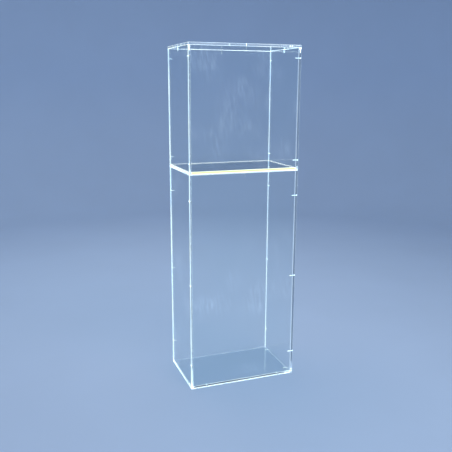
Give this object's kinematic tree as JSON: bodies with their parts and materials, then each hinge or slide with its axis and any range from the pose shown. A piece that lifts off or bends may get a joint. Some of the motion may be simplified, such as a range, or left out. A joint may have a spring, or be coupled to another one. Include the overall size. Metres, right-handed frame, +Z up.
{
  "type": "acrylic display case",
  "caption": "Free-standing clear acrylic showcase: a tall plinth with a deck, and a five-sided display cube over the deck plate that lifts straight off.",
  "frame": {"origin": "on the floor, at the middle of the plinth's footprint", "axes": "+Z up, +X to the right of a viewer who stands in front of the wide side, +Y from front to back"},
  "size_m": [0.6, 0.375, 1.8],
  "materials": {
    "clear_acrylic": "clear cast acrylic with polished, bevelled edges that glow cool white",
    "cream_acrylic": "clear acrylic deck plate with sawn and sanded edges that glow cream",
    "screw_metal": "bright plated countersunk screws"
  },
  "bodies": {
    "plinth": {"plinth_front_wall": "clear_acrylic", "plinth_back_wall": "clear_acrylic", "plinth_left_wall": "clear_acrylic", "plinth_right_wall": "clear_acrylic", "base_plate": "clear_acrylic", "deck_seat": "clear_acrylic", "deck_plate": "cream_acrylic", "plinth_front_left_screws": "screw_metal", "plinth_front_right_screws": "screw_metal", "plinth_back_left_screws": "screw_metal", "plinth_back_right_screws": "screw_metal", "base_front_screws": "screw_metal", "base_back_screws": "screw_metal", "base_left_screws": "screw_metal", "base_right_screws": "screw_metal", "deck_screws": "screw_metal"},
    "display_cube": {"cube_front_wall": "clear_acrylic", "cube_back_wall": "clear_acrylic", "cube_left_wall": "clear_acrylic", "cube_right_wall": "clear_acrylic", "cube_top": "clear_acrylic", "cube_front_left_screws": "screw_metal", "cube_front_right_screws": "screw_metal", "cube_back_left_screws": "screw_metal", "cube_back_right_screws": "screw_metal", "top_screws": "screw_metal"}
  },
  "joints": [
    {"name": "cube_lift", "type": "slide", "parent": "plinth", "child": "display_cube", "axis": [0, 0, 1], "range_m": [0, 0.65]}
  ]
}
